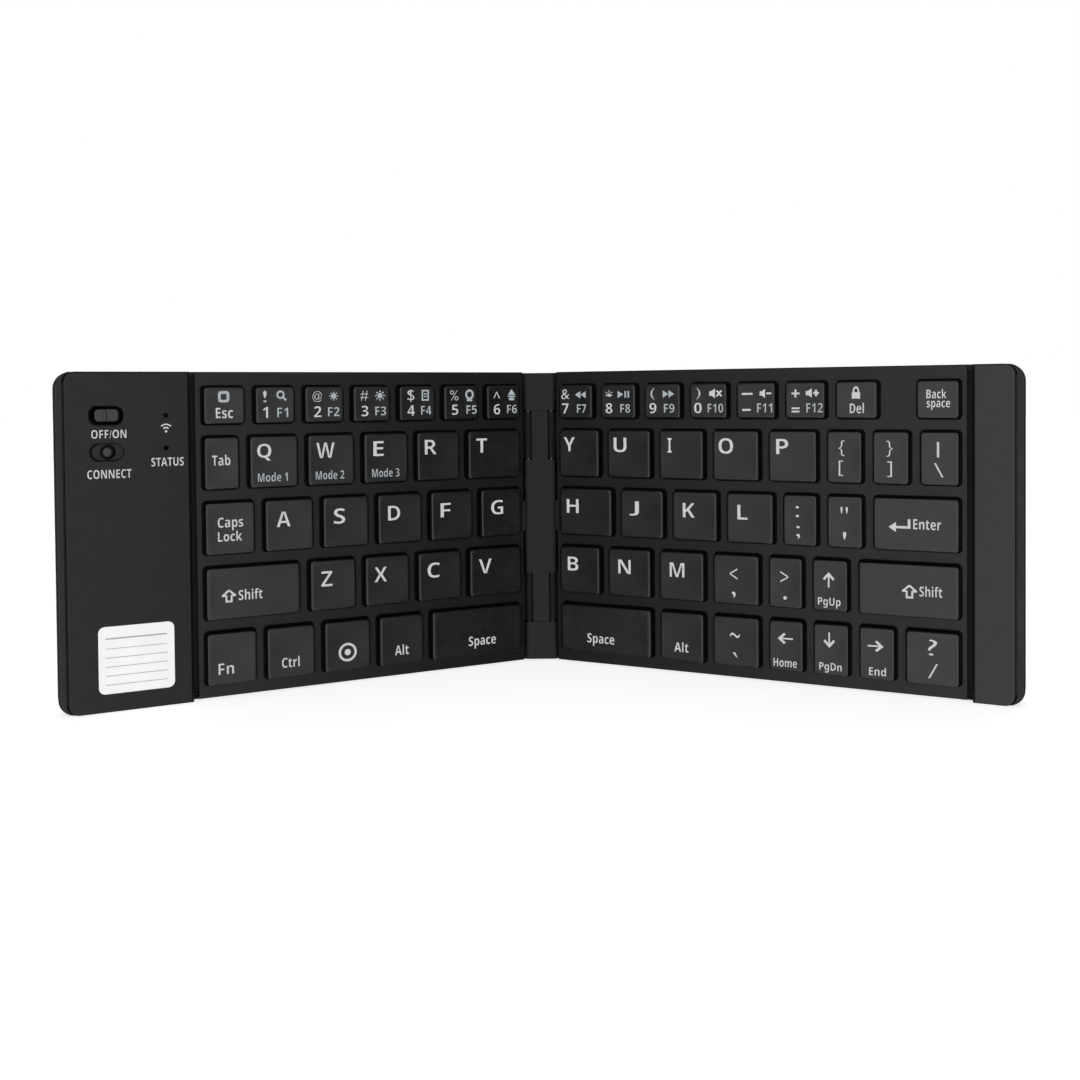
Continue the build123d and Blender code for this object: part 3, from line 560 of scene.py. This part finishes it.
def icon_parts(name):
    """Convex or simple outlines inside the unit square; rings are given as quads that share edges."""
    if name == "home":
        o = ring_points(0, 1, 0, 1, 0.26, 3)
        i = ring_points(0.24, 0.76, 0.24, 0.76, 0.08, 3)
        if len(o) == len(i):
            return frame2(o, i)
    if name == "search":
        return frame2(disc(0.4, 0.6, 0.4), disc(0.4, 0.6, 0.23)) + [stroke(0.66, 0.34, 0.94, 0.06, 0.2)]
    if name in ("sun_low", "sun_high"):
        r0, r1, r2 = (0.31, 0.37, 0.5) if name == "sun_low" else (0.25, 0.33, 0.5)
        parts = [disc(0.5, 0.5, r0)]
        for k in range(8):
            a = math.pi / 4 * k
            parts.append(stroke(0.5 + r1 * math.cos(a), 0.5 + r1 * math.sin(a), 0.5 + r2 * math.cos(a), 0.5 + r2 * math.sin(a), 0.13))
        return parts
    if name == "page":
        return [*frame2(box2(0.05, 0.95, 0, 1), box2(0.22, 0.78, 0.14, 0.86)), box2(0.34, 0.66, 0.58, 0.7), box2(0.34, 0.66, 0.34, 0.46)]
    if name == "lockring":
        return frame2(disc(0.5, 0.56, 0.44, 24, 1.05, 1.0), disc(0.5, 0.56, 0.25, 24, 1.05, 1.0)) + [box2(0.2, 0.8, 0.0, 0.14)]
    if name == "eject":
        return [[(0.08, 0.5), (0.92, 0.5), (0.5, 1.0)], box2(0.08, 0.92, 0.3, 0.42), disc(0.5, 0.13, 0.13, 20, 2.6, 1.0)]
    if name == "rewind":
        return [[(0.0, 0.5), (0.5, 0.0), (0.5, 1.0)], [(0.52, 0.5), (1.0, 0.0), (1.0, 1.0)]]
    if name == "forward":
        return [[(1.0, 0.5), (0.5, 1.0), (0.5, 0.0)], [(0.48, 0.5), (0.0, 1.0), (0.0, 0.0)]]
    if name == "playpause":
        return [[(0.0, 0.0), (0.48, 0.5), (0.0, 1.0)], box2(0.58, 0.72, 0.05, 0.95), box2(0.84, 0.98, 0.05, 0.95)]
    if name == "mute":
        return speaker() + [stroke(0.58, 0.2, 0.98, 0.8, 0.15), stroke(0.58, 0.8, 0.73, 0.57, 0.15), stroke(0.83, 0.43, 0.98, 0.2, 0.15)]
    if name == "voldown":
        return speaker() + [box2(0.56, 1.0, 0.40, 0.60)]
    if name == "volup":
        return speaker() + [box2(0.56, 1.0, 0.40, 0.60), box2(0.69, 0.86, 0.60, 0.84), box2(0.69, 0.86, 0.16, 0.40)]
    if name == "bar":
        return [box2(0, 1, 0, 1)]
    if name == "plus":
        return [[(0.38, 0), (0.62, 0), (0.62, 0.38), (1, 0.38), (1, 0.62), (0.62, 0.62), (0.62, 1), (0.38, 1), (0.38, 0.62), (0, 0.62), (0, 0.38), (0.38, 0.38)]]
    if name == "equal":
        return [box2(0, 1, 0, 0.34), box2(0, 1, 0.66, 1)]
    if name == "lock":
        n = 14
        o = [(0.5 + 0.36 * math.cos(math.pi * k / n), 0.6 + 0.4 * math.sin(math.pi * k / n)) for k in range(n + 1)]
        i = [(0.5 + 0.19 * math.cos(math.pi * k / n), 0.6 + 0.24 * math.sin(math.pi * k / n)) for k in range(n + 1)]
        o, i = [(0.86, 0.5)] + o + [(0.14, 0.5)], [(0.69, 0.5)] + i + [(0.31, 0.5)]
        return [[o[k], o[k + 1], i[k + 1], i[k]] for k in range(len(o) - 1)] + [box2(0.04, 0.96, 0.0, 0.52)]
    if name == "waves":
        parts = [disc(0.5, 0.12, 0.12, 16)]
        for r0, r1 in ((0.30, 0.43), (0.62, 0.75)):
            o = [(0.5 + r1 * math.sin(math.radians(a)), 0.12 + r1 * math.cos(math.radians(a))) for a in range(-45, 46, 9)]
            i = [(0.5 + r0 * math.sin(math.radians(a)), 0.12 + r0 * math.cos(math.radians(a))) for a in range(-45, 46, 9)]
            parts += [[o[k], o[k + 1], i[k + 1], i[k]] for k in range(len(o) - 1)]
        return parts
    if name == "ring":
        return frame2(disc(0.5, 0.5, 0.5, 40), disc(0.5, 0.5, 0.375, 40)) + [disc(0.5, 0.5, 0.17, 28)]
    if name == "shift":
        w = 0.13
        return [stroke(0.5, 1.0 - w, 0.02, 0.46, w), stroke(0.5, 1.0 - w, 0.98, 0.46, w), box2(0.0, 0.32, 0.42, 0.42 + w),
                box2(0.68, 1.0, 0.42, 0.42 + w), box2(0.25, 0.25 + w, 0.0, 0.5), box2(0.62, 0.62 + w, 0.0, 0.5), box2(0.25, 0.75, 0.0, w)]
    if name == "return":
        return [[(0.0, 0.38), (0.34, 0.76), (0.34, 0.0)], box2(0.3, 1.0, 0.29, 0.47), box2(0.88, 1.0, 0.4, 1.0)]
    if name == "up":
        return [stroke(0.5, 0.0, 0.5, 0.9, 0.13), [(0.5, 1.0), (0.02, 0.58), (0.14, 0.46), (0.5, 0.76), (0.86, 0.46), (0.98, 0.58)]]
    if name == "down":
        return [stroke(0.5, 0.1, 0.5, 1.0, 0.13), [(0.5, 0.0), (0.98, 0.42), (0.86, 0.54), (0.5, 0.24), (0.14, 0.54), (0.02, 0.42)]]
    if name == "left":
        return [stroke(0.1, 0.5, 1.0, 0.5, 0.13), [(0.0, 0.5), (0.42, 0.02), (0.54, 0.14), (0.24, 0.5), (0.54, 0.86), (0.42, 0.98)]]
    if name == "right":
        return [stroke(0.0, 0.5, 0.9, 0.5, 0.13), [(1.0, 0.5), (0.58, 0.98), (0.46, 0.86), (0.76, 0.5), (0.46, 0.14), (0.58, 0.02)]]
    raise ValueError(name)


def prism(parts):
    """Each outline as its own thin closed block, 2 units thick in z."""
    verts, faces = [], []
    for pts in parts:
        area = sum(a[0] * b[1] - b[0] * a[1] for a, b in zip(pts, pts[1:] + pts[:1]))
        if area < 0:
            pts = pts[::-1]
        k, n = len(verts), len(pts)
        verts += [(x, y, -1.0) for x, y in pts] + [(x, y, 1.0) for x, y in pts]
        faces.append(tuple(range(k + n, k + 2 * n)))
        faces.append(tuple(reversed(range(k, k + n))))
        faces += [(k + i, k + (i + 1) % n, k + n + (i + 1) % n, k + n + i) for i in range(n)]
    return verts, faces


every = sorted({row[0] for rows in (*LEGENDS.values(), PANEL_LEGENDS) for row in rows if not row[0].startswith("i:")})
words = [t for t in every if len(t) > 2 and t.replace(" ", "").replace("/", "").isalpha()]
signs = [t for t in every if not any(c.isalnum() for c in t)]
SHAPES = text_shapes([t for t in every if t not in words and t not in signs], -0.014)
SHAPES.update(text_shapes(words, -0.009))
SHAPES.update(text_shapes(signs, -0.013))


def add_legend(bm, s, what, u0, u1, v0, v1, surface, layer=0):
    if what.startswith("i:"):
        verts, faces = prism(icon_parts(what[2:]))
        lo, hi = (0.0, 0.0), (1.0, 1.0)
    else:
        verts, faces = SHAPES[what]
        lo = (min(v[0] for v in verts), min(v[1] for v in verts))
        hi = (max(v[0] for v in verts), max(v[1] for v in verts))
    x0, x1 = sorted((s * u0, s * u1))
    fresh = []
    for x, y, z in verts:
        px = x0 + (x - lo[0]) / max(hi[0] - lo[0], 1e-6) * (x1 - x0)
        py = v0 + (y - lo[1]) / max(hi[1] - lo[1], 1e-6) * (v1 - v0)
        fresh.append(bm.verts.new((px, py, surface(px, py) + (0.012 if z > 0 else -0.05))))
    for f in faces:
        try:
            bm.faces.new([fresh[i] for i in f]).material_index = layer
        except ValueError:
            pass


def finish_mesh(bm, name, s, mats, body, smooth=None):
    bmesh.ops.remove_doubles(bm, verts=bm.verts, dist=1e-5)
    bmesh.ops.recalc_face_normals(bm, faces=bm.faces)
    me = bpy.data.meshes.new(name)
    bm.to_mesh(me)
    bm.free()
    me.transform(leaf_matrix(s))
    for m in mats:
        me.materials.append(m)
    if smooth:
        for p in me.polygons:
            p.use_smooth = True
        me.set_sharp_from_angle(angle=math.radians(smooth))
    ob = bpy.data.objects.new(name, me)
    scene.collection.objects.link(ob)
    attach(ob, body)
    return ob


def make_key_node(node, names):
    s = CAPS[names[0]].s
    bm = bmesh.new()
    edge = bm.verts.layers.float.new("edge")
    for n in names:
        CAPS[n].build(bm, edge)
    caps = finish_mesh(bm, node + "_caps", s, [MATS["cap"]], node, smooth=50)
    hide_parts(node)
    bm = bmesh.new()
    for n in names:
        for what, u0, u1, v0, v1, colour in LEGENDS.get(n, []):
            add_legend(bm, s, what, u0, u1, v0, v1, CAPS[n].top, 0 if colour == W else 1)
    finish_mesh(bm, node + "_legends", s, [MATS["white"], MATS["cool"]], node)


grouped = set()
for bank, names in BANKS.items():
    make_key_node(bank, names)
    grouped |= set(names)
for name in CAPS:
    if name not in grouped:
        make_key_node(name + "_key", [name])

bm = bmesh.new()
for what, u0, u1, v0, v1, colour in PANEL_LEGENDS:
    add_legend(bm, -1, what, u0, u1, v0, v1, lambda x, y: PANEL_TOP, 0)
finish_mesh(bm, "panel_legends", -1, [MATS["white"], MATS["cool"]], "left_leaf")

bm = bmesh.new()
lines = [box2(-u1, -u0, v0, v1) for u0, u1, v0, v1 in LABEL_RULES]
verts, faces = prism(lines)
fresh = [bm.verts.new((x, y, LABEL_TOP + (0.008 if z > 0 else -0.05))) for x, y, z in verts]
for f in faces:
    try:
        bm.faces.new([fresh[i] for i in f])
    except ValueError:
        pass
finish_mesh(bm, "label_rules", -1, [MATS["rule"]], "left_leaf")


# ------------------------------------------------------------------ floor, light, camera
def floor():
    bpy.ops.mesh.primitive_plane_add(size=8.0, location=(0, 0, 0))
    ob = bpy.context.object
    ob.name = "studio_floor"
    t = Tree("floor_paper")
    a = t.noise(3.0, 2.0)
    col = t.blend(t.spread(a, 0.0, 1.0), (0.90, 0.90, 0.90), (0.93, 0.93, 0.93))
    t.link(col, "Base Color")
    t.bsdf.inputs["Roughness"].default_value = 0.9
    t.bsdf.inputs["Specular IOR Level"].default_value = 0.1
    t.bsdf.inputs["Emission Color"].default_value = (1, 1, 1, 1)
    t.bsdf.inputs["Emission Strength"].default_value = FLOOR_GLOW
    ob.data.materials.append(t.mat)
    # the keyboard sees the studio's light below the horizon too, as over a lit sheet
    ob.visible_glossy = ob.visible_diffuse = ob.visible_transmission = ob.visible_shadow = False


FLOOR_GLOW = 0.62
floor()

# Soft light all round, by compass direction and height: a bright wide wall in front of the keys, dim flanks, paler
# sides and back, a soft ceiling. By eye everything around is white.
WALL, FLANK, SIDES, CEILING = 1.75, 0.037, 0.35, 0.45
WALL_FROM, WALL_TO, WALL_AT = 30.4, 50.0, -1.3
world = bpy.data.worlds.new("studio")
scene.world = world
world.use_nodes = True
nt = world.node_tree
bg = nt.nodes["Background"]


def wmath(op, a, b=0.0):
    n = nt.nodes.new("ShaderNodeMath")
    n.operation = op
    for i, v in enumerate((a, b)):
        if hasattr(v, "is_output"):
            nt.links.new(v, n.inputs[i])
        else:
            n.inputs[i].default_value = v
    return n.outputs["Value"]


def wstep(value, x0, x1, a, b):
    n = nt.nodes.new("ShaderNodeMapRange")
    n.interpolation_type = "SMOOTHSTEP"
    for k, v in (("From Min", x0), ("From Max", x1), ("To Min", a), ("To Max", b)):
        n.inputs[k].default_value = v
    nt.links.new(value, n.inputs["Value"])
    return n.outputs["Result"]


def wpick(fac, a, b):
    n = nt.nodes.new("ShaderNodeMix")
    n.data_type = "FLOAT"
    nt.links.new(fac, n.inputs["Factor"])
    nt.links.new(a, n.inputs["A"])
    n.inputs["B"].default_value = b
    return n.outputs["Result"]


axes = nt.nodes.new("ShaderNodeSeparateXYZ")
nt.links.new(nt.nodes.new("ShaderNodeTexCoord").outputs["Generated"], axes.inputs["Vector"])
compass = wmath("ARCTAN2", axes.outputs["X"], wmath("MULTIPLY", axes.outputs["Y"], -1.0))
off = wmath("ABSOLUTE", wmath("SUBTRACT", compass, math.radians(WALL_AT)))
wall = wstep(off, math.radians(WALL_FROM), math.radians(WALL_TO), WALL, FLANK)
around = wmath("ADD", wall, wstep(off, math.radians(75), math.radians(105), 0.0, SIDES))
lit = wpick(wstep(axes.outputs["Z"], 0.45, 0.95, 0.0, 1.0), around, CEILING)
nt.links.new(wpick(nt.nodes.new("ShaderNodeLightPath").outputs["Is Camera Ray"], lit, 1.0), bg.inputs["Strength"])
bg.inputs["Color"].default_value = (1.0, 1.0, 1.0, 1.0)

cam_data = bpy.data.cameras.new("camera")
cam_data.sensor_fit = "HORIZONTAL"
cam_data.sensor_width = 36.0
cam_data.lens = 1097.87 / 1080.0 * 36.0
cam_data.shift_x = 0.0
cam_data.shift_y = -(540.0 - 418.676) / 1080.0
cam_data.clip_start, cam_data.clip_end = 0.01, 50.0
cam = bpy.data.objects.new("camera", cam_data)
scene.collection.objects.link(cam)
F = Vector((0.007088, 0.99975, -0.02089)).normalized()
R = Vector((0.99997, -0.00709, 0.0))
R = (R - F * R.dot(F)).normalized()
U = R.cross(F)
roll = -0.00877
R2 = R * math.cos(roll) + U * math.sin(roll)
U2 = U * math.cos(roll) - R * math.sin(roll)
cam.matrix_world = Matrix(((R2.x, U2.x, -F.x, -0.002498), (R2.y, U2.y, -F.y, -0.3440225), (R2.z, U2.z, -F.z, 0.089986), (0, 0, 0, 1)))
scene.camera = cam

scene.view_settings.view_transform = "Standard"
scene.view_settings.look = "None"
